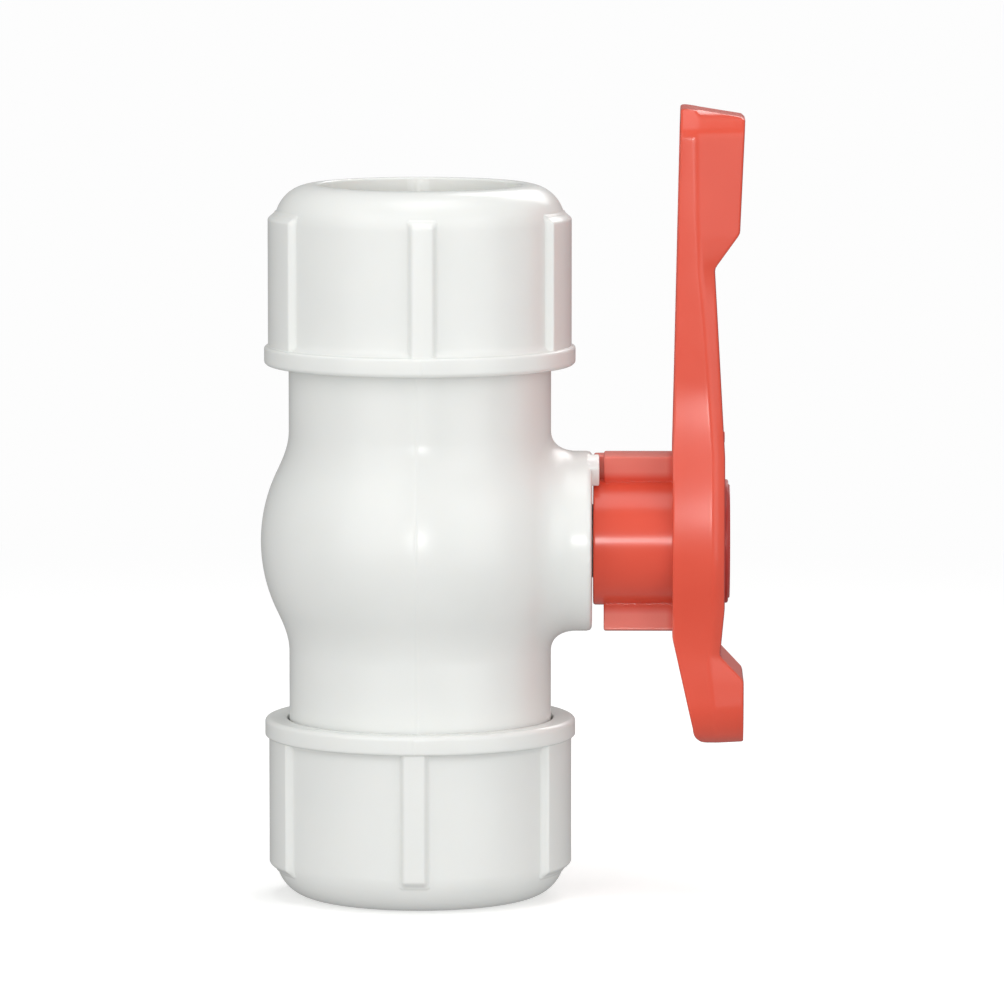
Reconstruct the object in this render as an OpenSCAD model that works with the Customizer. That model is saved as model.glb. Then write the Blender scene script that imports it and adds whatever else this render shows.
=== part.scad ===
// Straight two-way ball valve with a compression nut for plastic pipe at each end.
// Z runs along the flow, from the lower mouth at z = 0 to the upper mouth at z = valve_l.
// X runs along the stem, towards the lever. The lever's long arm points up: valve open.

/* [Flow line] */
// Length from mouth to mouth
valve_l = 115; // [95:1:150]
// Outside diameter of the pipe
pipe_d = 32; // [26:0.5:40]
// Diameter of the passage through body, seats and ball
passage_d = 23; // [18:0.5:28]

/* [Body] */
// Wall of the bulge over the ball
bulge_wall = 7.6; // [6.5:0.1:10]
// Wall of the body's threaded ends
end_wall = 1.2; // [1:0.1:2.5]
// Diameter of the boss round the stem
boss_d = 29; // [27:0.5:34]
// Height of the boss above the bulge
boss_h = 2; // [1.5:0.1:4]
// Thickness of the web that stops the pipe
pipe_stop_w = 5; // [3:0.5:8]

/* [Nuts] */
// Length of a nut
nut_l = 29; // [28:0.5:36]
// Thickness of the nut's end wall
nut_end_wall = 4; // [3:0.1:6]
// Wall of the nut over its thread
nut_wall = 1.9; // [1.6:0.1:3]
// Radius of the nut's rounded outer edge
nut_edge_r = 6; // [4:0.5:6]
// Height of the nut's ribs and grip pads
grip_h = 1.1; // [0.6:0.1:1.6]
// Width of a narrow rib
rib_w = 4; // [3:0.5:6]
// Angle that a wide grip pad covers
pad_angle = 62; // [40:2:80]
// Height of the rim above the nut's side
rim_h = 1.8; // [1.2:0.1:2.5]
// Width of the rim along the axis
rim_w = 3.1; // [2.5:0.1:4]
// Pitch of the nut's thread
thread_pitch = 3; // [2.8:0.1:3.6]
// Depth of the thread
thread_depth = 1.2; // [0.8:0.1:1.4]

/* [Pipe grip and seal] */
// Length of the split grip ring
grip_ring_l = 7.5; // [6:0.5:9]
// Thickness of the thrust ring
thrust_t = 2.6; // [2:0.1:4]
// Thickness of the rubber ring on the pipe
seal_d = 3; // [2.6:0.1:3.2]
// Width of the slit in the grip ring
slit_w = 3; // [2:0.5:5]

/* [Ball and seats] */
// Wall of the ball beside its bore
ball_wall = 6.3; // [5.5:0.1:8]
// Width of the seat ring, across its section
seat_w = 4.8; // [4.4:0.1:5.5]
// Thickness of the seat ring
seat_t = 4.2; // [3.8:0.1:5]
// Thickness of the rubber cushion behind a seat
cushion_d = 1.8; // [1.5:0.1:2]
// Thickness of the rubber ring round the seat carrier
carrier_ring_d = 1.7; // [1.5:0.1:2]

/* [Stem] */
// Diameter of the stem
stem_d = 11.8; // [10:0.2:13]
// Diameter of the collar that keeps the stem in
collar_d = 16; // [15:0.5:18]
// Thickness of the collar
collar_t = 2.2; // [1.8:0.1:3]
// Width of the tang in the ball's slot
tang_w = 5.5; // [4.5:0.1:6.5]
// Length of the tang
tang_l = 13; // [11:0.5:14]
// Diameter of the stem's head in the lever
head_d = 11; // [10:0.2:11.4]
// Distance across the head's two flats
head_flats = 8; // [7:0.2:9]
// Thickness of the stem's rubber rings
stem_ring_d = 1.24; // [1:0.02:1.4]
// Diameter of the lever's screw
screw_d = 4.9; // [4:0.1:5]

/* [Lever] */
// Reach of the long arm from the stem
long_arm = 70; // [58:1:90]
// Reach of the short arm from the stem
short_arm = 32.3; // [30:0.1:40]
// Width of the long arm
long_w = 19.6; // [17:0.2:24]
// Width of the short arm
short_w = 20.6; // [18:0.2:24]
// Width across the hub
hub_w = 26; // [25:0.2:30]
// Length of the sleeve between boss and lever plate
sleeve_l = 12.9; // [12:0.1:18]
// Diameter of the sleeve
sleeve_d = 20.6; // [19:0.2:22]
// Thickness of the lever at its hub
lever_t = 8.4; // [8:0.1:11]
// Height of the finger pads above the hub
pad_h = 3.1; // [2:0.1:4]
// Wall of the hollow lever
lever_wall = 2.4; // [2:0.1:3]
// Diameter of the cap over the screw
cap_d = 19.9; // [18:0.1:20.5]

/* [Hidden] */
$fn = 96;

// Clearances
pipe_gap = 0.2;        // pipe in the body's socket and in the thrust ring
mouth_gap = 0.4;       // pipe in the nut's mouth
slide_gap = 0.1;       // parts that slide into each other
ball_gap = 0.3;        // ball in the body
seal_gap = 0.03;       // rubber and seats on what they seal
ring_room = 0.4;       // a rubber ring's groove over the ring itself, along the axis
thread_gap = 0.4;      // crest of one thread over the root of the other
cone_gap = 0.15;       // grip ring in the nut's cone
thrust_gap = 0.2;      // grip ring to thrust ring
tang_gap = 0.15;       // stem's tang in the ball's slot
washer_gap = 0.05;     // flat washers on what they lie on
stop_gap = 0.5;        // degrees between the lever's foot and a stop lug
past = 1;              // how far a cut runs past the face it opens

// Pipe, its rubber ring and the cone in the body's mouth
pipe_r = pipe_d / 2;
socket_r = pipe_r + pipe_gap;
mouth_r = pipe_r + mouth_gap;
seal_r = seal_d / 2;
seal_mid_r = mouth_r + seal_r;
seal_sunk = 0.87;      // how far the middle of the rubber ring stands out of the body's mouth
mouth_lip = 0.6;       // narrowest wall outside the cone
chamfer_r = seal_mid_r + (seal_r + seal_gap) * sqrt(2) - seal_sunk;

// Radii, from the ball outwards
passage_r = passage_d / 2;
ball_r = passage_r + ball_wall;
carrier_wall = 1.8;
carrier_flange_step = 0.5;
cavity_r = max(ball_r + ball_gap, socket_r + carrier_wall + slide_gap);
carrier_r = cavity_r - slide_gap;
flange_r = carrier_r + carrier_flange_step;
flange_bore_r = flange_r + slide_gap;
root_r = max(flange_bore_r + end_wall, chamfer_r + mouth_lip);
thread_r = root_r + thread_depth;
neck_r = thread_r + slide_gap;
bulge_r = cavity_r + bulge_wall;
nut_root_r = thread_r + thread_gap;
nut_crest_r = root_r + thread_gap;
nut_r = nut_root_r + nut_wall;
grip_r = nut_r + grip_h;
rim_r = nut_r + rim_h;
thrust_bore_r = nut_crest_r - slide_gap;

// Grip ring: a thin end towards the mouth, teeth that stand just clear of the pipe
grip_thin_wall = 0.8;
tooth_h = 0.55;
tooth_root_r = pipe_r + 0.7;
teeth = 3;
grip_cone_r = tooth_root_r + grip_thin_wall;

// Depths below a nut's mouth
grip_ring_t = nut_end_wall + 2 * cone_gap;
thrust_at = grip_ring_t + grip_ring_l + thrust_gap;
thrust_end = thrust_at + thrust_t;
seal_at = thrust_end + seal_gap + seal_r;
body_end = seal_at + seal_sunk;
chamfer_end = body_end + chamfer_r - socket_r;
carrier_flange_l = 8.4;
flange_start = body_end + max(0, chamfer_r - flange_bore_r) + slide_gap;
flange_end = flange_start + carrier_flange_l;
neck_start = nut_l - 1;

// Thread ridge: its width at the foot and at the crest, and how deep its foot is sunk
ridge_base = 1.8;
ridge_crest = 0.5;
ridge_sunk = 0.5;
ridge_lead = 1.7;      // from the body's end to the ridge
ridge_start = body_end + ridge_lead;
thread_turns = floor((neck_start - ridge_start - ridge_base / 2) / thread_pitch * 4) / 4;
nut_turns = thread_turns - 0.5;

// Outside of the nut
grip_lead = 1.2;       // how far ribs and pads reach into the rounded edge
grip_top = nut_edge_r - grip_lead;
hollow_step = 0.2;     // the nut's thread starts this far inside the body's end
neck_gap = 0.35;       // nut's open end over the body's neck
rim_edge = 1.1;        // rounding of the rim

// Distances from the ball's centre along the flow
mid_z = valve_l / 2;
seat_lip = 0.3;        // seat's hole over the passage, and seat's face over its pocket
seat_in_r = passage_r + seat_lip;
seat_out_r = seat_in_r + seat_w;
seat_band = 2.7;       // width of the face that touches the ball
seat_front = sqrt(pow(ball_r + seal_gap, 2) - pow(seat_in_r + seat_band, 2));
seat_back = seat_front + seat_t;
pocket_front = seat_front + seat_lip;
pocket_back = seat_back + slide_gap;
cushion_out = 0.4;     // how far the cushion sits outside the middle of the seat
cushion_mid_r = (seat_in_r + seat_out_r) / 2 + cushion_out;
cushion_at = seat_back + seal_gap + cushion_d / 2;
groove_back = cushion_at + cushion_d / 2 + seal_gap;
groove_half = cushion_d / 2 + slide_gap;
pipe_stop = groove_back + pipe_stop_w;
carrier_ring_set = 2.2;
carrier_ring_at = groove_back + carrier_ring_set;
carrier_ring_r = carrier_r - carrier_ring_d / 2 + slide_gap - seal_gap;
carrier_groove_r = carrier_ring_r - carrier_ring_d / 2 - seal_gap;
key_slot_w = 4;
key_slot_depth = 3;

// Distances from the flow axis along the stem
stem_r = stem_d / 2;
slot_wall = 2.5;       // ball between its bore and the tang's slot
slot_floor = passage_r + slot_wall;
tang_start = slot_floor + tang_gap;
collar_start = cavity_r + 0.2;
collar_room = 0.3;
washer_t = 0.7;
washer_start = collar_start + collar_t + washer_gap;
shoulder_x = washer_start + washer_t + washer_gap;
boss_r = boss_d / 2;
boss_x = bulge_r + boss_h;
ring_groove_r = stem_r - stem_ring_d + seal_gap;
ring_mid_r = ring_groove_r + seal_gap + stem_ring_d / 2;
ring_inset = 2.15;     // rubber rings from the two ends of the stem's bore
ring_1_x = shoulder_x + ring_inset;
ring_2_x = boss_x - ring_inset;
head_x = boss_x + 0.7;

// Lever, from its hub to its cap
plate_x = boss_x + sleeve_l;
hub_x = plate_x + lever_t;
long_drop = 1.7;       // how far the long arm's outer face falls from the hub to its finger pad
short_drop = 0.7;      // the same on the short arm
top_x = hub_x + pad_h;
pad_lean = 0.8;        // how far the long finger pad falls from its tip to its slope
plate_wall = 3.4;
hollow_x = hub_x - plate_wall;
rib_t = 2;
long_rise = 1.2;       // how far the long arm's inner face leans out towards its tip
short_rise = 3.4;      // the same on the short arm
tip_round = 2.6;       // rounding of the short arm's inner corner
end_slant = 1.7;       // the long end's outer edge behind its inner edge
long_pad_l = 20;
long_slope_l = 5.5;
short_pad_l = 10.7;
short_slope_l = 4;
hub_fade_long = 27;    // from the stem to where the hub's width has faded to the arm's
hub_fade_short = 19;
short_corner_r = 7;
long_corner_r = 4;

// Head of the stem, screw, washer and cap
head_end = plate_x - 0.15;
screw_web = 2.6;       // plate under the screw's washer
well_x = plate_x + screw_web;
well_r = 7.1;
screw_head_r = 4.5;
screw_head_h = 1.6;
screw_dome_h = 1;
screw_dome_r = 3.2;
screw_slot_w = 1.1;
screw_slot_l = 4.8;
screw_washer_r = 5.8;
screw_washer_t = 0.7;
screw_washer_x = well_x + washer_gap;
screw_head_x = screw_washer_x + screw_washer_t + washer_gap;
cap_seat_x = hub_x - 1.4;
cap_x = hub_x + 0.6;
cap_skirt_l = 2.2;
cap_skirt_t = 1;
cap_ring_in = 1.5;     // raised ring near the cap's edge: inner radius, outer radius, height
cap_ring_out = 0.8;
cap_ring_h = 0.25;

// Stops: the wing's foot runs between two lugs on the boss
wing_x = boss_x + 1.9;
wing_r = boss_r;
wing_angle = 32;
foot_angle = 15;
foot_x = boss_x + 0.3;
foot_inset = 0.3;
lug_h = 1.2;
lug_angle = 22;
lug_inset = 0.1;
lug_in_r = sleeve_d / 2 + 0.5;
quarter_turn = 90;

white = "#f0f1ee";
red = "#d8452f";
deep_red = "#b02a20";
rubber = "#26282a";
ptfe = "#f7f4e6";
steel = "#b9bcc0";
acetal = "#e8e4d8";
ball_white = "#dcdcdc";

module at_upper_mouth() translate([0, 0, valve_l]) children();
module at_lower_mouth() rotate([180, 0, 0]) children();
module at_ball() translate([0, 0, mid_z]) children();
module below_ball() at_ball() rotate([180, 0, 0]) children();
// Turns +Z to +X, so that a shape drawn along Z lies along the stem
module along_stem() at_ball() rotate([0, 90, 0]) children();

// Ring between two radii and two depths below a mouth
module ring_below(r_in, r_out, from, to)
    translate([0, 0, -to])
        difference() {
            cylinder(r = r_out, h = to - from);
            translate([0, 0, -past]) cylinder(r = r_in, h = to - from + 2 * past);
        }

module torus(mid_r, d)
    rotate_extrude() translate([mid_r, 0]) circle(d = d, $fn = 48);

// Wedge of the given angle round the X direction, for cutting sectors
module wedge(angle, reach, h)
    linear_extrude(h, center = true)
        polygon([[0, 0],
                 for (i = [-2:2]) reach * [cos(angle * i / 4), sin(angle * i / 4)] / cos(angle / 8)]);

// Round bar along the stem, between two distances from the flow axis
module stem_bar(r, from, to) translate([from, 0, 0]) rotate([0, 90, 0]) cylinder(r = r, h = to - from);
// Sector of the stem's surroundings, centred on the long arm's direction
module stem_sector(angle, reach, h) rotate([90, -90, 90]) wedge(angle, reach, h);

// Right-hand helical ridge round Z, its foot sunk into the wall it grows from.
// foot_r and crest_r are the radii of its wide and its narrow side.
module helix_ridge(foot_r, crest_r, start, turns) {
    per_turn = 24;
    steps = round(turns * per_turn);
    section = [[foot_r, -ridge_base / 2], [foot_r, ridge_base / 2],
               [crest_r, ridge_crest / 2], [crest_r, -ridge_crest / 2]];
    points = [for (i = [0:steps], p = section)
                 let (a = 360 * i / per_turn)
                     [p[0] * cos(a), p[0] * sin(a), start + p[1] + thread_pitch * i / per_turn]];
    sides = [for (i = [0:steps - 1], j = [0:3])
                let (k = (j + 1) % 4, near = 4 * i, far = 4 * (i + 1))
                    for (t = [[near + j, near + k, far + k], [near + j, far + k, far + j]]) t];
    faces = concat(sides, [[0, 3, 2, 1], [for (j = [0:3]) 4 * steps + j]]);
    outwards = crest_r > foot_r;
    polyhedron(points, [for (f = faces) outwards ? [for (i = [len(f) - 1:-1:0]) f[i]] : f]);
}

// ---- Body ----

// Outside of the body without its stem boss
module body_outside() {
    translate([0, 0, body_end]) cylinder(r = root_r, h = valve_l - 2 * body_end);
    translate([0, 0, neck_start]) cylinder(r = neck_r, h = valve_l - 2 * neck_start);
    at_ball() sphere(r = bulge_r);
    along_stem() cylinder(r = boss_r, h = boss_x);
}

// Cone in the body's mouth, on which the rubber ring sits
module mouth_cone()
    translate([0, 0, -chamfer_end])
        cylinder(r1 = socket_r, r2 = chamfer_r + past, h = chamfer_end - body_end + past);

// Seat pocket and cushion groove, cut outwards from the ball
module seat_pocket() {
    translate([0, 0, pocket_front - past])
        cylinder(r = seat_out_r + slide_gap, h = pocket_back - pocket_front + past);
    translate([0, 0, pocket_back - past])
        difference() {
            cylinder(r = cushion_mid_r + groove_half, h = groove_back - pocket_back + past);
            cylinder(r = cushion_mid_r - groove_half, h = groove_back - pocket_back + 2 * past);
        }
}

module stem_bore() {
    cylinder(r = collar_d / 2 + collar_room, h = shoulder_x);
    cylinder(r = stem_r + slide_gap, h = boss_x + past);
}

// Lugs on the boss that stop the lever when open and when closed
module stop_lugs()
    for (a = [-foot_angle / 2 - stop_gap - lug_angle / 2,
              quarter_turn + foot_angle / 2 + stop_gap + lug_angle / 2])
        at_ball() rotate([-a, 0, 0])
            intersection() {
                difference() {
                    stem_bar(boss_r - lug_inset, boss_x - past, boss_x + lug_h);
                    stem_bar(lug_in_r, boss_x - 2 * past, boss_x + lug_h + past);
                }
                translate([boss_x, 0, 0]) stem_sector(lug_angle, boss_r + past, 2 * (lug_h + past));
            }

module valve_body() color(white) {
    difference() {
        union() {
            body_outside();
            stop_lugs();
        }
        translate([0, 0, body_end - past]) cylinder(r = flange_bore_r, h = flange_end - body_end + past);
        translate([0, 0, flange_end - past])
            cylinder(r = cavity_r, h = mid_z + pocket_front - flange_end + past);
        at_ball() seat_pocket();
        at_ball() cylinder(r = passage_r, h = mid_z);
        at_ball() translate([0, 0, pipe_stop]) cylinder(r = socket_r, h = mid_z);
        at_upper_mouth() mouth_cone();
        at_lower_mouth() mouth_cone();
        along_stem() stem_bore();
    }
    at_upper_mouth() body_thread();
    at_lower_mouth() body_thread();
}

module body_thread()
    helix_ridge(root_r - ridge_sunk, thread_r, -ridge_start - thread_pitch * thread_turns, thread_turns);

// Insert that closes the body below the ball and holds the lower seat and the pipe
module seat_carrier() color(white)
    difference() {
        union() {
            at_lower_mouth() ring_below(passage_r, flange_r, flange_start, flange_end);
            at_lower_mouth() ring_below(passage_r, carrier_r, flange_end - past, mid_z - pocket_front);
        }
        at_lower_mouth() mouth_cone();
        below_ball() translate([0, 0, pipe_stop]) cylinder(r = socket_r, h = mid_z);
        below_ball() seat_pocket();
        below_ball() translate([0, 0, carrier_ring_at])
            difference() {
                cylinder(r = carrier_r + past, h = carrier_ring_d + ring_room, center = true);
                cylinder(r = carrier_groove_r, h = carrier_ring_d + ring_room + past, center = true);
            }
        // Two slots for the key that presses the insert home
        translate([0, 0, flange_start])
            cube([2 * flange_r + past, key_slot_w, 2 * key_slot_depth], center = true);
    }

module carrier_ring() color(rubber)
    below_ball() translate([0, 0, carrier_ring_at]) torus(carrier_ring_r, carrier_ring_d);

// ---- Ball and seats ----

module ball() color(ball_white) at_ball()
    difference() {
        sphere(r = ball_r);
        cylinder(r = passage_r, h = 3 * ball_r, center = true);
        translate([slot_floor, -ball_r, -tang_w / 2 - tang_gap])
            cube([ball_r, 2 * ball_r, tang_w + 2 * tang_gap]);
    }

// Seat ring with a spherical face, drawn outwards from the ball's centre
module seat() color(ptfe)
    difference() {
        translate([0, 0, seat_front]) cylinder(r = seat_out_r, h = seat_t);
        cylinder(r = seat_in_r, h = seat_back + past);
        sphere(r = ball_r + seal_gap);
    }

module seat_cushion() color(rubber) translate([0, 0, cushion_at]) torus(cushion_mid_r, cushion_d);

module upper_seat() at_ball() seat();
module lower_seat() below_ball() seat();
module upper_seat_cushion() at_ball() seat_cushion();
module lower_seat_cushion() below_ball() seat_cushion();

// ---- Stem ----

module stem_groove(x)
    translate([0, 0, x])
        difference() {
            cylinder(r = stem_r + past, h = stem_ring_d + ring_room, center = true);
            cylinder(r = ring_groove_r, h = stem_ring_d + ring_room + past, center = true);
        }

// Round bar with two flats, drawn along the stem
module double_d(gap, h)
    intersection() {
        cylinder(r = head_d / 2 + gap, h = h);
        translate([-head_flats / 2 - gap, -head_d, 0]) cube([head_flats + 2 * gap, 2 * head_d, h]);
    }

module stem() color(white) along_stem()
    difference() {
        union() {
            intersection() {
                translate([-tang_w / 2, -tang_l / 2, tang_start])
                    cube([tang_w, tang_l, collar_start - tang_start + collar_t / 2]);
                cylinder(r = collar_d / 2, h = boss_x);
            }
            translate([0, 0, collar_start]) cylinder(r = collar_d / 2, h = collar_t);
            translate([0, 0, collar_start]) cylinder(r = stem_r, h = head_x - collar_start);
            translate([0, 0, head_x]) double_d(0, head_end - head_x);
        }
        stem_groove(ring_1_x);
        stem_groove(ring_2_x);
        translate([0, 0, head_x + past]) cylinder(r = screw_d / 2 + washer_gap, h = head_end);
    }

module stem_rings() color(rubber) along_stem()
    for (x = [ring_1_x, ring_2_x])
        translate([0, 0, x]) torus(ring_mid_r, stem_ring_d);

module stem_washer() color(ptfe) along_stem() translate([0, 0, washer_start])
    difference() {
        cylinder(r = collar_d / 2 + slide_gap, h = washer_t);
        translate([0, 0, -past]) cylinder(r = stem_r + slide_gap, h = washer_t + 2 * past);
    }

// ---- Lever ----

// Half width of the lever at a distance along it from the stem, from hub to arm
function lever_half(z) =
    let (arm = z < 0 ? short_w / 2 : long_w / 2,
         s = min(1, z < 0 ? -z / hub_fade_short : z / hub_fade_long))
        arm + (hub_w / 2 - arm) * (1 + cos(180 * s)) / 2;

// Points of a round corner: centre, radius, first and last angle
function corner(c, r, from, to) =
    [for (i = [0:4]) let (a = from + (to - from) * i / 4) c + r * [cos(a), sin(a)]];

// One side of the lever's face, from its short end to its long end, as [width, length]
function lever_side(inset) =
    concat(
        corner([short_w / 2 - short_corner_r, -short_arm + short_corner_r], short_corner_r - inset, -90, 0),
        [for (i = [0:14]) let (z = -hub_fade_short + (hub_fade_short + hub_fade_long) * i / 14)
            [lever_half(z) - inset, z]],
        corner([long_w / 2 - long_corner_r, long_arm - long_corner_r], long_corner_r - inset, 0, 90));

module lever_face(inset) {
    side = lever_side(inset);
    n = len(side);
    polygon(concat(side, [for (i = [0:n - 1]) [-side[n - 1 - i][0], side[n - 1 - i][1]]]));
}

// The lever seen from its edge: distance from the flow axis, distance along the lever.
// Both faces taper from the hub to the tips, and a slope leads up to each finger pad.
module lever_edge()
    polygon(concat(
        [[plate_x + long_rise, long_arm], [plate_x, boss_r], [plate_x, -boss_r]],
        corner([plate_x + short_rise + tip_round, -short_arm + tip_round], tip_round, 180, 270),
        [[top_x, -short_arm], [top_x, -short_arm + short_pad_l],
         [hub_x - short_drop, -short_arm + short_pad_l + short_slope_l],
         [hub_x, -cap_d / 2], [hub_x, boss_r],
         [hub_x - long_drop, long_arm - long_pad_l - long_slope_l],
         [top_x - pad_lean, long_arm - long_pad_l], [top_x, long_arm - end_slant]]));

module across_stem(h) rotate([90, 0, 0]) linear_extrude(h, center = true) children();
module out_from_axis(x, h) translate([x, 0, 0]) rotate([90, 0, 90]) linear_extrude(h) children();
// Ribs in the lever's hollow: one along it, one across the short arm and four across the long arm
module lever_ribs() {
    translate([plate_x, -rib_t / 2, -short_arm]) cube([hollow_x - plate_x, rib_t, short_arm + long_arm]);
    first = boss_r + rib_t;
    for (z = [-short_arm + short_pad_l, for (i = [0:3]) first + (long_arm - first) * i / 4])
        translate([plate_x, -hub_w / 2, z - rib_t / 2]) cube([hollow_x - plate_x, hub_w, rib_t]);
}

// The two wings, and the foot under the open-side wing that meets the stop lugs
module lever_wings() {
    for (turn = [0, 180])
        rotate([turn, 0, 0])
            intersection() {
                stem_bar(wing_r, wing_x, plate_x + past / 2);
                translate([wing_x, 0, 0]) stem_sector(wing_angle, wing_r + past, 3 * sleeve_l);
            }
    intersection() {
        difference() {
            stem_bar(wing_r - foot_inset, foot_x, wing_x + past);
            stem_bar(sleeve_d / 2 - past, foot_x - past, wing_x + 2 * past);
        }
        translate([wing_x, 0, 0]) stem_sector(foot_angle, wing_r + past, 2 * sleeve_l);
    }
}

module lever() color(red) at_ball()
    difference() {
        union() {
            difference() {
                intersection() {
                    across_stem(2 * hub_w) lever_edge();
                    out_from_axis(plate_x - past, top_x - plate_x + 2 * past) lever_face(0);
                }
                difference() {
                    out_from_axis(plate_x - past, hollow_x - plate_x + past) lever_face(lever_wall);
                    stem_bar(sleeve_d / 2, plate_x - 2 * past, hub_x);
                    lever_ribs();
                }
            }
            stem_bar(sleeve_d / 2, boss_x + 0.2, cap_seat_x - 0.1);
            lever_wings();
        }
        stem_bar(stem_r + collar_room, boss_x - past, head_x);
        translate([boss_x, 0, 0]) rotate([0, 90, 0]) double_d(slide_gap, plate_x - boss_x);
        stem_bar(screw_d / 2 + collar_room, plate_x - past, hub_x);
        stem_bar(well_r, well_x, hub_x + past);
        stem_bar(cap_d / 2 + slide_gap, cap_seat_x, hub_x + past);
    }

// Disc with a raised ring near its edge, and a skirt that snaps into the lever's well
module lever_cap() color(deep_red) at_ball() {
    stem_bar(cap_d / 2, cap_seat_x, cap_x);
    difference() {
        stem_bar(cap_d / 2 - cap_ring_out, cap_x - slide_gap, cap_x + cap_ring_h);
        stem_bar(cap_d / 2 - cap_ring_in, cap_x - past, cap_x + past);
    }
    difference() {
        stem_bar(well_r - slide_gap, cap_seat_x - cap_skirt_l, cap_seat_x + slide_gap);
        stem_bar(well_r - slide_gap - cap_skirt_t, cap_seat_x - cap_skirt_l - past, cap_seat_x);
    }
}

module lever_screw() color(steel) along_stem()
    difference() {
        union() {
            translate([0, 0, head_x + 2 * past]) cylinder(d = screw_d, h = screw_head_x - head_x);
            translate([0, 0, screw_head_x]) cylinder(r = screw_head_r, h = screw_head_h);
            translate([0, 0, screw_head_x + screw_head_h])
                cylinder(r1 = screw_head_r, r2 = screw_dome_r, h = screw_dome_h);
        }
        for (a = [0, 90])
            rotate([0, 0, a]) translate([0, 0, screw_head_x + screw_head_h + screw_dome_h])
                cube([screw_slot_l, screw_slot_w, screw_head_h + screw_dome_h], center = true);
    }

module screw_washer() color(steel) along_stem() translate([0, 0, screw_washer_x])
    difference() {
        cylinder(r = screw_washer_r, h = screw_washer_t);
        translate([0, 0, -past]) cylinder(r = screw_d / 2 + ball_gap, h = screw_washer_t + 2 * past);
    }

// ---- Nut, drawn below its mouth ----

// Half section of the nut's outside, round at its mouth end, with the rim at its open end
module nut_outline() {
    translate([0, -nut_l + past]) square([nut_r, nut_l - nut_edge_r - past]);
    translate([0, -nut_l]) square([nut_r - nut_edge_r, nut_l]);
    translate([nut_r - nut_edge_r, -nut_edge_r]) circle(r = nut_edge_r);
    polygon([[0, -nut_l], [rim_r - rim_edge, -nut_l], [rim_r - 0.3 * rim_edge, -nut_l + 0.3 * rim_edge],
             [rim_r, -nut_l + rim_edge], [rim_r, -nut_l + rim_w - rim_edge / 2],
             [rim_r - rim_edge / 2, -nut_l + rim_w], [0, -nut_l + rim_w]]);
}

// Pipe hole, cone for the grip ring, straight part for the thrust ring, thread and neck
module nut_hollow()
    polygon([[0, past], [mouth_r, past], [mouth_r, -nut_end_wall],
             [grip_cone_r + cone_gap, -nut_end_wall], [thrust_bore_r, -thrust_at + slide_gap],
             [thrust_bore_r, -body_end - hollow_step], [nut_root_r, -body_end - hollow_step],
             [nut_root_r, -neck_start + past], [neck_r + neck_gap, -neck_start + past],
             [neck_r + neck_gap, -nut_l - past], [0, -nut_l - past]]);

module nut() {
    difference() {
        union() {
            rotate_extrude() nut_outline();
            intersection() {
                ring_below(nut_r - past, grip_r, grip_top, nut_l - rim_w / 2);
                union() {
                    translate([0, 0, -nut_l / 2]) cube([rib_w, 3 * nut_r, nut_l], center = true);
                    for (turn = [0, 180])
                        rotate([0, 0, turn]) translate([0, 0, -nut_l / 2])
                            wedge(pad_angle, grip_r + past, nut_l);
                }
            }
        }
        rotate_extrude() nut_hollow();
    }
    helix_ridge(nut_root_r + ridge_sunk, nut_crest_r + seal_gap, -ridge_start - thread_pitch * nut_turns,
                nut_turns);
}

module upper_nut() color(white) at_upper_mouth() nut();
module lower_nut() color(white) at_lower_mouth() nut();

// Split ring with a conical back and biting teeth, open on one side
module grip_ring() color(acetal)
    difference() {
        rotate_extrude()
            polygon([[tooth_root_r, -grip_ring_t], [grip_cone_r, -grip_ring_t],
                     [thrust_bore_r - cone_gap, -grip_ring_t - grip_ring_l],
                     [tooth_root_r, -grip_ring_t - grip_ring_l],
                     for (i = [teeth:-1:1])
                         let (at = -grip_ring_t - i * grip_ring_l / (teeth + 1))
                             for (p = [[0, 1.6 * tooth_h], [tooth_h, 0.2 * tooth_h], [0, 0]])
                                 [tooth_root_r - p[0], at - p[1]]]);
        translate([-slit_w / 2, 0, -grip_ring_t - grip_ring_l - past])
            cube([slit_w, 2 * nut_r, grip_ring_l + 2 * past]);
    }

module upper_grip_ring() at_upper_mouth() grip_ring();
module lower_grip_ring() at_lower_mouth() grip_ring();

module thrust_ring() color(white) ring_below(socket_r, thrust_bore_r - thrust_gap, thrust_at, thrust_end);
module upper_thrust_ring() at_upper_mouth() thrust_ring();
module lower_thrust_ring() at_lower_mouth() thrust_ring();

module pipe_seal() color(rubber) translate([0, 0, -seal_at]) torus(seal_mid_r, seal_d);
module upper_pipe_seal() at_upper_mouth() pipe_seal();
module lower_pipe_seal() at_lower_mouth() pipe_seal();

valve_body();
seat_carrier();
carrier_ring();
ball();
upper_seat();
lower_seat();
upper_seat_cushion();
lower_seat_cushion();
stem();
stem_rings();
stem_washer();
lever();
lever_cap();
lever_screw();
screw_washer();
upper_nut();
lower_nut();
upper_grip_ring();
lower_grip_ring();
upper_thrust_ring();
lower_thrust_ring();
upper_pipe_seal();
lower_pipe_seal();
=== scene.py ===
import itertools
from math import cos, degrees, pi, radians, sin, sqrt

import bmesh
import bpy
import numpy as np
from mathutils import Matrix, Vector


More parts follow.
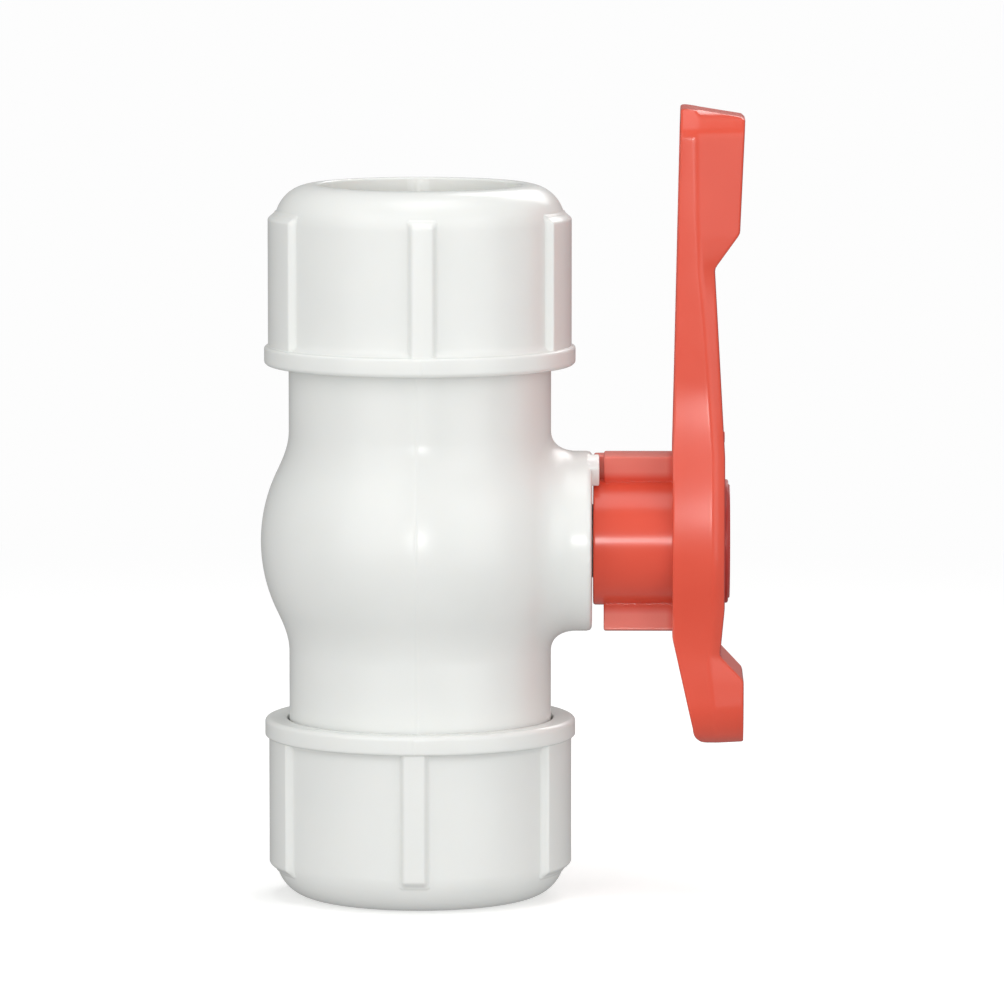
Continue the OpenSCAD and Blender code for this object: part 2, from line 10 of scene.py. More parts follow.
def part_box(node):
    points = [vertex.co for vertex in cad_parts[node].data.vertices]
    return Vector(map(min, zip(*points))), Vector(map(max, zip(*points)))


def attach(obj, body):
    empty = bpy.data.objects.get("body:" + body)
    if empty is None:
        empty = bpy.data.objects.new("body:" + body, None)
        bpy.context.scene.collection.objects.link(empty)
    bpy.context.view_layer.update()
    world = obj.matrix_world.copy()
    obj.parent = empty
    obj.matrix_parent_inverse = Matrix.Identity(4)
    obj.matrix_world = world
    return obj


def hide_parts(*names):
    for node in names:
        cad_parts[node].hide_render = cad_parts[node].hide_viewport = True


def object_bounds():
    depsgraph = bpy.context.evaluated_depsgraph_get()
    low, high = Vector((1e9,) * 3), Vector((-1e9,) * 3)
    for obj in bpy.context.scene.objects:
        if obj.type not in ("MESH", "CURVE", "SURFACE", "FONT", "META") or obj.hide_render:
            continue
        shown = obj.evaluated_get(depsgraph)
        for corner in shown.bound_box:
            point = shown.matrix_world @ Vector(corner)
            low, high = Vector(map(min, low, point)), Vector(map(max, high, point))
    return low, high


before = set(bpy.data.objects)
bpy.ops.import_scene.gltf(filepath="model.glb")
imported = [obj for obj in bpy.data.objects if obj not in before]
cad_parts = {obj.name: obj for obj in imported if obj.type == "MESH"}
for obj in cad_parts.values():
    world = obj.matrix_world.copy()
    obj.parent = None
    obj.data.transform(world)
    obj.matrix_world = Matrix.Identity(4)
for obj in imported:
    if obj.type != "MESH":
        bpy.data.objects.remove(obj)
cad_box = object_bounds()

MM = 0.001


def box_mm(node):
    """Lowest and highest corner of a CAD node, in millimetres."""
    low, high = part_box(node)
    return np.array(low) / MM, np.array(high) / MM


body_low, body_high = box_mm("valve_body")
nut_low, nut_high = box_mm("upper_nut")
mouth_z = nut_high[2]
mid_z = mouth_z / 2
nut_l = mouth_z - nut_low[2]
body_end = body_low[2]
bulge_r = -body_low[0]
neck_r = 21.1
root_r, thread_r = 19.8, 21.0
thread_pitch, thread_turns = 3, 2.75
lug_h, lug_angle = 1.2, 22
boss_r, boss_edge = 14.5, 0.9
boss_x = body_high[0] - lug_h
socket_r = 16.2
mouth_cone_r = 19.19
passage_r = 11.5
neck_blend, boss_blend = 2.0, 3.2
parting_h, parting_w = 0.045, 0.22
# How far solids that are joined reach into each other, and how far cutters reach into the open
lap, past = 1, 3


def soft_min(a, b, reach):
    """The lesser of two distances, with a round fillet where they cross."""
    near = np.clip(reach - np.abs(a - b), 0, None) / reach
    return np.minimum(a, b) - near * near * reach / 4


def soft_max(a, b, reach):
    """The greater of two distances, with a rounded edge where they cross."""
    return -soft_min(-a, -b, reach)


def body_skin(x, y, z):
    """Distance to the outside of neck, bulge and boss, from the ball's centre."""
    parting = parting_h * np.exp(-(x / parting_w) ** 2)
    neck = np.hypot(x, y) - neck_r - parting
    bulge = np.sqrt(x * x + y * y + z * z) - (bulge_r - parting_h) - parting
    boss = soft_max(np.hypot(y, z) - boss_r, x - boss_x, boss_edge)
    tube = soft_min(neck, bulge, neck_blend)
    skin = soft_min(tube, np.maximum(boss, -x), boss_blend)
    return soft_max(skin, np.abs(z) - (mid_z - nut_l + lap), 0.5)


def slope_of(shape, points, step=0.02):
    """Direction in which a distance grows, at each point."""
    slope = np.zeros_like(points)
    for axis in range(3):
        move = np.zeros(3)
        move[axis] = step
        slope[:, axis] = (shape(*(points + move).T) - shape(*(points - move).T)) / (2 * step)
    return slope


def skin_mesh(shape, xs, ys, zs):
    """Points and faces of the surface where a distance is zero: one point in each cell it crosses,
    moved onto the surface by a few steps along the slope."""
    grid = np.stack(np.meshgrid(xs, ys, zs, indexing="ij"), axis=-1)
    value = shape(grid[..., 0], grid[..., 1], grid[..., 2])
    inside = value < 0
    size = np.array(value.shape) - 1

    def corner(field, shift):
        return field[tuple(slice(s, s + n) for s, n in zip(shift, size))]

    shifts = list(itertools.product((0, 1), repeat=3))
    count = sum(corner(inside, s).astype(int) for s in shifts)
    crossed = (count > 0) & (count < 8)
    total = np.zeros((crossed.sum(), 3))
    number = np.zeros((crossed.sum(), 1))
    for start in shifts:
        for axis in range(3):
            if start[axis] == 0:
                end = tuple(s + (k == axis) for k, s in enumerate(start))
                a, b = corner(value, start)[crossed], corner(value, end)[crossed]
                hit = ((a < 0) != (b < 0))[:, None]
                share = (a / np.where(a == b, 1, a - b))[:, None]
                from_, to = corner(grid, start)[crossed], corner(grid, end)[crossed]
                total += np.where(hit, from_ + (to - from_) * share, 0)
                number += hit
    points = total / number
    for _ in range(4):
        slope = slope_of(shape, points)
        points -= slope * (shape(*points.T) / np.maximum((slope ** 2).sum(1), 0.01))[:, None]
    index = np.full(crossed.shape, -1)
    index[crossed] = np.arange(crossed.sum())
    faces = []
    for axis in range(3):
        u, v = (axis + 1) % 3, (axis + 2) % 3
        inner = [slice(1, n) for n in size]
        inner[axis] = slice(0, size[axis])
        ahead = [slice(1, n) for n in size]
        ahead[axis] = slice(1, size[axis] + 1)
        turns = inside[tuple(inner)] != inside[tuple(ahead)]
        leaves = inside[tuple(inner)][turns]
        at = np.argwhere(turns)
        at[:, u] += 1
        at[:, v] += 1
        ring = []
        for du, dv in ((0, 0), (-1, 0), (-1, -1), (0, -1)):
            cell = at.copy()
            cell[:, u] += du
            cell[:, v] += dv
            ring.append(index[tuple(cell.T)])
        quads = np.stack(ring, axis=1)
        quads[~leaves] = quads[~leaves][:, ::-1]
        faces.append(quads)
    return points, np.concatenate(faces)


def solid(name, points, faces):
    """Mesh object in millimetres with its faces turned outwards."""
    mesh = bpy.data.meshes.new(name)
    mesh.from_pydata([tuple(p) for p in points], [], [tuple(f) for f in faces])
    shape = bmesh.new()
    shape.from_mesh(mesh)
    bmesh.ops.recalc_face_normals(shape, faces=shape.faces)
    shape.to_mesh(mesh)
    shape.free()
    piece = bpy.data.objects.new(name, mesh)
    bpy.context.scene.collection.objects.link(piece)
    return piece


def turned(name, profile, steps=160):
    """Solid turned round Z. A profile of (radius, height) points starts and ends on the axis."""
    points, rings, faces = [], [], []
    for radius, height in profile:
        first = len(points)
        if radius == 0:
            points.append((0, 0, height))
            rings.append([first] * steps)
        else:
            points += [(radius * cos(2 * pi * k / steps), radius * sin(2 * pi * k / steps), height)
                       for k in range(steps)]
            rings.append(list(range(first, first + steps)))
    for low, high in zip(rings, rings[1:]):
        for k in range(steps):
            face = list(dict.fromkeys([low[k - 1], low[k], high[k], high[k - 1]]))
            if len(face) > 2:
                faces.append(face)
    return solid(name, points, faces)


def rings_of(count, around):
    """Four-sided faces between neighbouring rings of points, each ring with as many points."""
    return [(k * around + j, k * around + (j + 1) % around, (k + 1) * around + (j + 1) % around,
             (k + 1) * around + j) for k in range(count - 1) for j in range(around)]


def capped(count, around):
    """The same faces, and one at each end."""
    last = (count - 1) * around
    return rings_of(count, around) + [tuple(range(around)), tuple(range(last, last + around))]


def prism(name, outline, low, high, edge=0.0):
    """Solid with an outline in Y and Z, between two distances along X, its edges rounded."""
    n = len(outline)
    points = [(low, y, z) for y, z in outline] + [(high, y, z) for y, z in outline]
    faces = [(k, (k + 1) % n, n + (k + 1) % n, n + k) for k in range(n)]
    piece = solid(name, points, faces + [list(range(n))[::-1], list(range(n, 2 * n))])
    if edge:
        rounding = piece.modifiers.new("rounding", "BEVEL")
        rounding.width = edge
        rounding.segments = 3
        rounding.limit_method = "ANGLE"
        rounding.angle_limit = radians(40)
    return piece


def moved(piece, matrix):
    """The piece, with its mesh turned or shifted in place."""
    piece.data.transform(matrix)
    if matrix.is_negative:
        piece.data.flip_normals()
    return piece


def joined(piece, *others, how="UNION"):
    """The piece with other solids added to it or cut from it, in order."""
    for other in others:
        step = piece.modifiers.new("step", "BOOLEAN")
        step.object = other
        step.operation = how
        step.solver = "MANIFOLD"
    made = piece.evaluated_get(bpy.context.evaluated_depsgraph_get())
    mesh = bpy.data.meshes.new_from_object(made)
    piece.modifiers.clear()
    piece.data = mesh
    for other in others:
        bpy.data.objects.remove(other)
    return piece


def thread(name, foot_r, crest_r, start, turns, per_turn=72):
    """Right-hand ridge round Z, 1.8 mm wide at its foot, which is sunk in the wall, and 0.5 mm at its
    crest. At both ends it fades over 30 degrees to a third of its height."""
    foot, crest = 1.8 / 2, 0.5 / 2
    steps = round(turns * per_turn)
    fade_steps = per_turn / 12
    points = []
    for k in range(steps + 1):
        fade = min(1, k / fade_steps, (steps - k) / fade_steps)
        tip = foot_r + (crest_r - foot_r) * (0.35 + 0.65 * fade)
        a = 2 * pi * k / per_turn
        for radius, side in ((foot_r, -foot), (foot_r, foot), (tip, crest), (tip, -crest)):
            height = start + side + thread_pitch * k / per_turn
            points.append((radius * cos(a), radius * sin(a), height))
    return solid(name, points, capped(steps + 1, 4))


def add(tree, kind, inputs=(), **settings):
    """A node with its settings. Each input, by its name, gets a value or another node's output."""
    node = tree.nodes.new(kind)
    for name, value in settings.items():
        setattr(node, name, value)
    for socket, value in dict(inputs).items():
        if isinstance(value, bpy.types.NodeSocket):
            tree.links.new(value, node.inputs[socket])
        else:
            node.inputs[socket].default_value = value
    return node


def hex_colour(code):
    """An sRGB hex colour as linear red, green, blue and alpha."""
    parts = [int(code[k:k + 2], 16) / 255 for k in (1, 3, 5)]
    return [p / 12.92 if p <= 0.04045 else ((p + 0.055) / 1.055) ** 2.4 for p in parts] + [1]


def new_material(name):
    """A plain material, with its node tree, its shader and a node for the piece's coordinates."""
    made = bpy.data.materials.new(name)
    made.use_nodes = True
    tree = made.node_tree
    return made, tree, tree.nodes["Principled BSDF"], add(tree, "ShaderNodeTexCoord")


def white_polypropylene():
    """Injection-moulded polypropylene: a clean, slightly milky white with a soft gloss.
    Its skin has a faint orange peel, about 2 mm across, that ripples the highlights."""
    made, tree, skin, place = new_material("white_polypropylene_moulded_gloss")
    cloud = add(tree, "ShaderNodeTexNoise", {"Vector": place.outputs["Object"], "Scale": 1 / (14 * MM),
                                             "Detail": 2})
    tint = add(tree, "ShaderNodeMix", {"Factor": cloud.outputs["Fac"], "A": hex_colour("#e9ebe8"),
                                       "B": hex_colour("#f0f1ee")}, data_type="RGBA")
    tree.links.new(tint.outputs["Result"], skin.inputs["Base Color"])
    peel = add(tree, "ShaderNodeTexNoise", {"Vector": place.outputs["Object"], "Scale": 1 / (2 * MM),
                                            "Detail": 1})
    gloss = add(tree, "ShaderNodeMapRange", {"Value": cloud.outputs["Fac"], "To Min": 0.22, "To Max": 0.29})
    tree.links.new(gloss.outputs["Result"], skin.inputs["Roughness"])
    ripple = add(tree, "ShaderNodeBump", {"Height": peel.outputs["Fac"], "Strength": 0.25,
                                          "Distance": 0.02 * MM})
    tree.links.new(ripple.outputs["Normal"], skin.inputs["Normal"])
    skin.inputs["IOR"].default_value = 1.49
    skin.inputs["Subsurface Weight"].default_value = 0.25
    skin.inputs["Subsurface Radius"].default_value = (2.2, 2.0, 1.8)
    skin.inputs["Subsurface Scale"].default_value = MM
    return made


def finish_piece(piece, material, body, slot, *nodes, crease=32):
    """Millimetres to metres, smooth shading up to a crease angle, material and place in the frame."""
    piece.data.transform(Matrix.Scale(MM, 4))
    piece.data.polygons.foreach_set("use_smooth", [True] * len(piece.data.polygons))
    piece.data.set_sharp_from_angle(angle=radians(crease))
    even = piece.modifiers.new("even_shading", "WEIGHTED_NORMAL")
    even.keep_sharp = True
    piece.data.materials.clear()
    piece.data.materials.append(material)
    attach(piece, body)
    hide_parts(*nodes)
    return piece


def finish_nodes(material, *nodes):
    """The same material on every slot of some CAD nodes."""
    for name in nodes:
        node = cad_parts[name]
        if not node.data.materials:
            node.data.materials.append(material)
        for slot in node.material_slots:
            slot.material = material


white_plastic = white_polypropylene()

# Planes of the grid that the skin is found on. They reach past it on all sides, lie close together
# at the parting line, and are shifted a little, so that none touches the skin along a whole edge.
fine, coarse = 0.11, 0.55
near_parting = np.arange(-6, 7) * fine
beyond = np.arange(near_parting[-1] + coarse, bulge_r + 4, coarse)
xs = np.concatenate([-beyond[::-1], near_parting, beyond]) + 0.007
ys = np.arange(-bulge_r - 1, bulge_r + 1.5, coarse) + 0.011
zs = np.arange(-mid_z + nut_l - 2, mid_z - nut_l + 2.5, coarse) + 0.013
valve_body = solid("body_shell", *skin_mesh(body_skin, xs, ys, zs))

half = mid_z - body_end
end_edge = 0.3
ends = turned("ends", [(0, -half), (root_r - end_edge, -half), (root_r, -half + end_edge),
                       (root_r, half - end_edge), (root_r - end_edge, half), (0, half)])
ridge_foot, ridge_lead = 0.5, 1.7
ridge_start = half - ridge_lead - thread_pitch * thread_turns
ridges = [thread("ridge", root_r - ridge_foot, thread_r, ridge_start, thread_turns) for _ in range(2)]
moved(ridges[1], Matrix.Rotation(pi, 4, "X"))


def direction(angle, radius):
    """Point (y, z) round the stem, at an angle from the long arm's direction towards +Y."""
    return radius * sin(radians(angle)), radius * cos(radians(angle))


def sweep(middle, width, steps=8):
    """Evenly spaced angles across a width."""
    return [middle - width / 2 + width * k / steps for k in range(steps + 1)]


def lug(middle, low_r=10.8, high_r=14.4):
    """Stop on the boss's face, at an angle round the stem."""
    turn = sweep(middle, lug_angle)
    outline = [direction(a, high_r) for a in turn] + [direction(a, low_r) for a in turn[::-1]]
    return prism("lug", outline, boss_x - lap, boss_x + lug_h, edge=0.3)


foot_angle, stop_gap = 15, 0.5
beside = foot_angle / 2 + stop_gap + lug_angle / 2
lugs = [lug(-beside), lug(90 + beside)]
joined(valve_body, ends, *ridges, *lugs)

# What the core and the pins of the mould leave open, from the lower end to the upper mouth
flange_end, flange_bore_r, cavity_r = 26.09 - mid_z, 18.6, 18.1
pocket_front, pocket_back, pocket_r = 10.68, 14.68, 16.7
groove_back, groove_in_r, groove_out_r = 16.44, 13.6, 15.6
pipe_stop = 21.44
cone_l = mouth_cone_r - socket_r
open_by = 2
along_x = Matrix.Rotation(pi / 2, 4, "Y")
core = turned("core", [
    (0, -half - open_by), (mouth_cone_r, -half - open_by), (mouth_cone_r, -half),
    (flange_bore_r, -half + mouth_cone_r - flange_bore_r), (flange_bore_r, flange_end),
    (cavity_r, flange_end), (cavity_r, pocket_front), (pocket_r, pocket_front), (pocket_r, pocket_back),
    (groove_out_r, pocket_back), (groove_out_r, groove_back), (groove_in_r, groove_back),
    (groove_in_r, pocket_back), (passage_r, pocket_back), (passage_r, pipe_stop), (socket_r, pipe_stop),
    (socket_r, half - cone_l), (mouth_cone_r, half), (mouth_cone_r, half + open_by), (0, half + open_by)])
collar_bore_r, shoulder_x, stem_bore_r, bore_edge = 8.3, 21.3, 6.0, 0.3
stem_bore = moved(turned("stem_bore", [
    (0, 0), (collar_bore_r, 0), (collar_bore_r, shoulder_x), (stem_bore_r, shoulder_x),
    (stem_bore_r, boss_x - bore_edge), (stem_bore_r + bore_edge, boss_x),
    (stem_bore_r + bore_edge, boss_x + open_by), (0, boss_x + open_by)], steps=96), along_x)
joined(valve_body, core, stem_bore, how="DIFFERENCE")
at_ball = Matrix.Translation((0, 0, mid_z))


def true_normals(piece, shape, close=0.02, crease=32, agree=16):
    """Normal of each face corner: a distance's slope where the face lies on its surface and agrees with
    it within an angle, and elsewhere as smooth shading up to a crease angle gives it."""
    mesh = piece.data
    mesh.polygons.foreach_set("use_smooth", [True] * len(mesh.polygons))
    mesh.set_sharp_from_angle(angle=radians(crease))
    points = np.array([v.co for v in mesh.vertices])
    slope = slope_of(shape, points)
    slope /= np.linalg.norm(slope, axis=1, keepdims=True)
    on_skin = np.abs(shape(*points.T)) < close
    at = np.array([loop.vertex_index for loop in mesh.loops])
    normals = np.array([tuple(n.vector) for n in mesh.corner_normals])
    agrees = on_skin[at] & ((normals * slope[at]).sum(1) > cos(radians(agree)))
    normals[agrees] = slope[at][agrees]
    return normals


normals = true_normals(valve_body, body_skin)
moved(valve_body, at_ball)
finish_piece(valve_body, white_plastic, "valve", "white_polypropylene", "valve_body")
valve_body.modifiers.clear()
valve_body.data.normals_split_custom_set([tuple(n) for n in normals])

# ---- Seat carrier and its ring ----
# The threadless insert that closes the body below the ball: the same white polypropylene, pressed
# in against its flange, with a black nitrile ring in a groove round it.


def black_rubber():
    """Moulded nitrile rubber: near black, dull, with a fine cloudy bloom and a 0.6 mm grain."""
    made, tree, skin, place = new_material("nitrile_rubber_moulded")
    bloom = add(tree, "ShaderNodeTexNoise", {"Vector": place.outputs["Object"], "Scale": 1 / (5 * MM),
                                             "Detail": 3})
    tint = add(tree, "ShaderNodeMix", {"Factor": bloom.outputs["Fac"], "A": hex_colour("#1b1c1e"),
                                       "B": hex_colour("#2b2c2e")}, data_type="RGBA")
    tree.links.new(tint.outputs["Result"], skin.inputs["Base Color"])
    grain = add(tree, "ShaderNodeTexNoise", {"Vector": place.outputs["Object"], "Scale": 1 / (0.6 * MM)})
    bump = add(tree, "ShaderNodeBump", {"Height": grain.outputs["Fac"], "Strength": 0.4,
                                        "Distance": 0.03 * MM})
    tree.links.new(bump.outputs["Normal"], skin.inputs["Normal"])
    skin.inputs["IOR"].default_value = 1.52
    skin.inputs["Roughness"].default_value = 0.55
    return made


rubber = black_rubber()
finish_nodes(white_plastic, "seat_carrier")
finish_nodes(rubber, "carrier_ring")

# ---- Ball and seats ----
# The ball is turned and polished plastic with a bore as wide as the passage. It turns between two
# PTFE seats, each pressed on it by a rubber cushion.


def polished_ball():
    """Glass-filled plastic ball, turned and polished: cool light grey and glossy, with lathe rings.
    They are drawn 3 mm apart, coarse enough to show; a wave repeats at 0.314 over its scale."""
    made, tree, skin, place = new_material("ball_plastic_turned_polished")
    rings = add(tree, "ShaderNodeTexWave", {"Vector": place.outputs["Object"], "Scale": 0.1 / MM,
                                            "Distortion": 0.3}, wave_type="BANDS", bands_direction="Z")
    tint = add(tree, "ShaderNodeMix", {"Factor": rings.outputs["Fac"], "A": hex_colour("#d3d5d6"),
                                       "B": hex_colour("#dcdedf")}, data_type="RGBA")
    tree.links.new(tint.outputs["Result"], skin.inputs["Base Color"])
    bump = add(tree, "ShaderNodeBump", {"Height": rings.outputs["Fac"], "Strength": 0.3,
                                        "Distance": 0.01 * MM})
    tree.links.new(bump.outputs["Normal"], skin.inputs["Normal"])
    skin.inputs["IOR"].default_value = 1.5
    skin.inputs["Roughness"].default_value = 0.16
    return made


def ptfe():
    """Sintered PTFE, turned: waxy warm white, dull, slightly see-through and faintly clouded."""
    made, tree, skin, place = new_material("ptfe_turned")
    wax = add(tree, "ShaderNodeTexNoise", {"Vector": place.outputs["Object"], "Scale": 1 / (3 * MM)})
    tint = add(tree, "ShaderNodeMix", {"Factor": wax.outputs["Fac"], "A": hex_colour("#efebdd"),
                                       "B": hex_colour("#f6f3e8")}, data_type="RGBA")
    tree.links.new(tint.outputs["Result"], skin.inputs["Base Color"])
    skin.inputs["IOR"].default_value = 1.35
    skin.inputs["Roughness"].default_value = 0.42
    skin.inputs["Subsurface Weight"].default_value = 0.2
    skin.inputs["Subsurface Scale"].default_value = MM
    return made


ptfe_white = ptfe()
finish_nodes(polished_ball(), "ball")
finish_nodes(ptfe_white, "upper_seat", "lower_seat")
finish_nodes(rubber, "upper_seat_cushion", "lower_seat_cushion")

# ---- Stem ----
# White polypropylene with a collar inside the body, so that the pressure can't push it out, two
# rubber rings and a PTFE washer under the collar. Its tang turns the ball, its double-D head the lever.
finish_nodes(white_plastic, "stem")
finish_nodes(rubber, "stem_rings")
finish_nodes(ptfe_white, "stem_washer")

# ---- Lever ----
# Moulded from red polypropylene: a plate that is hollow and ribbed behind, a sleeve that fits over
# the stem's head, two wings, and a foot that runs between the stop lugs. Side walls meet the
# outer face in a sloping edge, and both tips rise to finger pads.
lever_low, lever_high = box_mm("lever")
long_arm = lever_high[2] - mid_z
short_arm = mid_z - lever_low[2]
top_x = lever_high[0]
pad_h, hub_t = 3.1, 8.4
hub_x = top_x - pad_h
plate_x = hub_x - hub_t
hub_half = lever_high[1]
long_half, short_half = 9.8, 10.3
long_fade, short_fade = 27, 19
long_cut_l, long_cut_w, long_cut_blend, short_corner = 3.8, 3.0, 0.8, 7
sleeve_r = 10.3
wall, plate_wall = 2.4, 3.4


def smooth(t):
    """Share from 0 to 1 that starts and ends level."""
    t = np.clip(t, 0, 1)
    return t * t * (3 - 2 * t)


def plan_half(z):
    """Half width of the lever: hub fading to arm, cut corners at the long end, round at the short."""
    arm = np.where(z < 0, short_half, long_half)
    fade = np.clip(np.where(z < 0, -z / short_fade, z / long_fade), 0, 1)
    width = arm + (hub_half - arm) * (1 + np.cos(pi * fade)) / 2
    cut = soft_max(long_cut_l - long_arm + z, 0, long_cut_blend)
    width = width - cut * long_cut_w / long_cut_l
    reach = np.clip(-short_arm + short_corner - z, 0, short_corner)
    return width - short_corner + np.sqrt(short_corner ** 2 - reach ** 2)


line_step = 0.1
line_z = np.arange(-short_arm - 4, long_arm + 4, line_step)


def rounded_line(points, reach):
    """Value along the lever through (z, value) points, its corners rounded over a reach."""
    line = np.interp(line_z, [p[0] for p in points], [p[1] for p in points])
    kernel = np.hanning(round(reach / line_step) + 2)
    padded = np.pad(line, len(kernel), mode="edge")
    line = np.convolve(padded, kernel / kernel.sum(), mode="same")[len(kernel):-len(kernel)]
    return lambda z: np.interp(z, line_z, line)


# The side view: inner and outer face. The inner one is rounded off at the short tip, and the outer
# one falls to the long tip's narrow end face.
tip_round, tip_fall_l, tip_face = 2.6, 1.7, 1.6
short_lift, long_lift = 3.4, 1.2
inner_line = rounded_line([(-short_arm + tip_round, plate_x + short_lift), (-boss_r, plate_x),
                           (boss_r, plate_x), (long_arm, plate_x + long_lift)], 1.6)
short_pad, short_slope, long_pad, long_slope = 10.7, 4, 20, 5.5
short_dip, long_dip, pad_rise = 0.7, 1.7, 0.8
outer_line = rounded_line([
    (-short_arm + short_pad, top_x), (-short_arm + short_pad + short_slope, hub_x - short_dip),
    (-9.95, hub_x), (boss_r, hub_x), (long_arm - long_pad - long_slope, hub_x - long_dip),
    (long_arm - long_pad, top_x - pad_rise), (long_arm - tip_fall_l, top_x)], 1.2)
# Height of the parting line on the side wall, and how far the sloping edge above it reaches in
parting_line = rounded_line([(-short_arm, plate_x + 7.3), (-20, plate_x + 5.8), (-12, plate_x + 6.8),
                             (10, plate_x + 7.1), (30, plate_x + 5.6), (44, plate_x + 4.4),
                             (52, plate_x + 3.9), (long_arm, plate_x + 3.6)], 6)
slope_reach = rounded_line([(-short_arm, 1.5), (-18, 1.2), (0, 1.1), (38, 1.0), (50, 2.3),
                            (long_arm, 2.3)], 6)
draft_slope = 0.07
foot_round, ridge_round, brow_round = 0.4, 0.7, 0.55


def eased(before, corner, after, size, steps=6):
    """Points of a rounded corner. It starts and ends a distance from the corner, though no further
    than nearly half-way to the neighbouring points."""
    before, corner, after = (np.array(p, float) for p in (before, corner, after))
    gap_in, gap_out = (float(np.linalg.norm(p - corner)) for p in (before, after))
    size = min(size, 0.45 * gap_in, 0.45 * gap_out)
    start = corner + (before - corner) * size / gap_in
    end = corner + (after - corner) * size / gap_out
    return [tuple((1 - t) ** 2 * start + 2 * t * (1 - t) * corner + t * t * end)
            for t in np.linspace(0, 1, steps)]


def lever_section(z, inset):
    """Half of a cross-section as (y, x) points, from the inner face's middle to the outer face's."""
    width = float(plan_half(z)) - inset
    low, high = float(inner_line(z)), float(outer_line(z))
    tip = z + short_arm
    if tip < tip_round:
        low += tip_round - sqrt(max(0, tip_round ** 2 - (tip_round - tip) ** 2))
    fall = (long_arm - z) * (top_x - plate_x - long_lift) / tip_fall_l + low
    high = min(high, fall + tip_face)
    low, high = low + inset, high - inset
    part = low + min(float(parting_line(z)) - low, 0.8 * (high - low))
    foot, ridge = (width - draft_slope * (part - low), low), (width, part)
    brow = (width - min(float(slope_reach(z)), 0.45 * width), high)
    points = [(width * s, low) for s in (0, 0.4, 0.8)]
    points += eased((0, low), foot, ridge, foot_round, steps=4)
    points += eased(foot, ridge, brow, ridge_round)
    points += eased(ridge, brow, (0, high), brow_round)
    return points + [(brow[0] * s, high) for s in (0.75, 0.5, 0.25, 0)]


# The cross-sections, as (z, inset): at both tips the inset follows a small rounding
tip_edge = 0.45
rounding = [(tip_edge * (1 - cos(a)), tip_edge * (1 - sin(a))) for a in np.linspace(0, 1.3, 6)]
sections = [(-short_arm + lead, inset) for lead, inset in rounding]
sections += [(z, 0.0) for z in np.arange(-short_arm + tip_edge, long_arm - tip_edge, 0.5)]
sections += [(long_arm - lead, inset) for lead, inset in rounding[::-1]]
points = []
for z, inset in sections:
    side = lever_section(z, inset)
    points += [(x, y, z) for y, x in side] + [(x, -y, z) for y, x in side[-2:0:-1]]
lever = solid("lever_handle", points, capped(len(sections), len(points) // len(sections)))

# Ribbed hollow behind the plate: the bays between the ribs, on both sides of the middle rib
rib = 2.0
first_rib = boss_r + rib
cross_ribs = [first_rib + (long_arm - first_rib) * k / 4 for k in range(4)]
bay_ends = [-short_arm + wall, -short_arm + short_pad, *cross_ribs, long_arm - wall + rib / 2]
hollow_x = hub_x - plate_wall
bays = []
for low, high in zip(bay_ends, bay_ends[1:]):
    low = low if low == bay_ends[0] else low + rib / 2
    along = np.linspace(low, high - rib / 2, 12)
    outer = [(float(plan_half(z)) - wall, z) for z in along]
    for side in (1, -1):
        outline = [(side * rib / 2, along[0]), *[(side * y, z) for y, z in outer],
                   (side * rib / 2, along[-1])]
        bays.append(prism("bay", outline, plate_x - past, hollow_x, edge=0.5))

# One shallow cut over the whole hollow sets the ribs back from the wall's edge
rib_drop = 0.9
relief_z = np.linspace(-short_arm + wall, long_arm - wall, 90)
points = []
for z in relief_z:
    y, deep = float(plan_half(z)) - wall, float(inner_line(z)) + rib_drop
    points += [(plate_x - past, -y, z), (plate_x - past, y, z), (deep, y, z), (deep, -y, z)]
relief = solid("relief", points, capped(len(relief_z), 4))
joined(lever, *bays, relief, how="DIFFERENCE")

sleeve_end, sleeve_edge = boss_x + 0.2, 0.4
sleeve = moved(turned("sleeve", [
    (0, sleeve_end), (sleeve_r - sleeve_edge, sleeve_end), (sleeve_r - 0.1, sleeve_end + 0.1),
    (sleeve_r, sleeve_end + sleeve_edge), (sleeve_r, hub_x - 2 * lap), (0, hub_x - 2 * lap)],
    steps=128), along_x)


def wing(middle, width, radius, low, high):
    """Wing on the sleeve at an angle round the stem, between two distances along it."""
    turn = sweep(middle, width)
    outline = [direction(a, radius) for a in turn]
    inner = [direction(a, sleeve_r - 2 * lap) for a in (turn[-1], turn[0])]
    return prism("wing", outline + inner, low, high, edge=0.35)


wing_x, wing_angle, foot_gap = boss_x + 1.9, 32, 0.3
wings = [wing(side, wing_angle, boss_r, wing_x, plate_x + lap) for side in (0, 180)]
foot = wing(0, foot_angle, boss_r - foot_gap, boss_x + foot_gap, wing_x + lap)

# Mark that the mould's gate leaves on the face
gate_r, gate_z, gate_h = 0.9, 16.8, 0.04
gate = moved(turned("gate", [(0, hub_x - lap), (gate_r, hub_x - lap), (gate_r, hub_x),
                             (gate_r - 0.2, hub_x + 0.03), (0, hub_x + gate_h)], steps=32),
             Matrix.Translation((0, 0, gate_z)) @ along_x)
joined(lever, sleeve, *wings, foot, gate)

